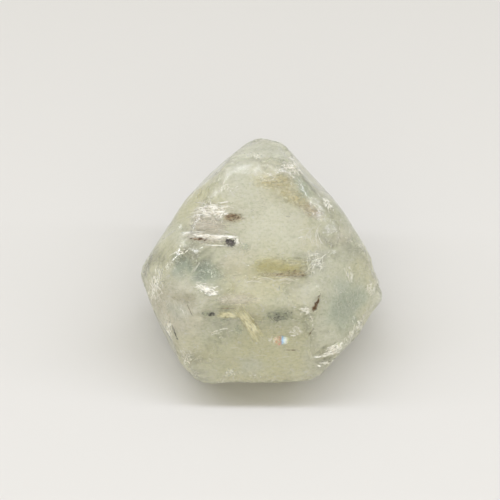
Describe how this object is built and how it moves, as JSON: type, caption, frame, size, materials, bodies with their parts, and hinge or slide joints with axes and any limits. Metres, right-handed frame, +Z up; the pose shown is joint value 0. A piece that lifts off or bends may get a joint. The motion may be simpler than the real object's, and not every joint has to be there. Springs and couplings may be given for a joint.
{
  "type": "rough topaz crystal",
  "caption": "Rough pale green-blue topaz: a chunky, worn and cloudy crystal with chipped edges, resting on a flat cleavage face.",
  "frame": {"origin": "middle of the stone's footprint box, on the surface that it rests on", "axes": "+Z up, away from the cleavage face that the stone rests on; -Y towards the front, where its broad sloping faces look; +X to its right"},
  "size_m": [0.0356, 0.0336, 0.0266],
  "materials": {
    "topaz": "satin",
    "healed_veil": "satin",
    "open_crack": "polished",
    "iron_stain": "matte",
    "dark_mineral": "matte"
  },
  "bodies": {
    "root": {"topaz_stone": "topaz"}
  },
  "joints": []
}
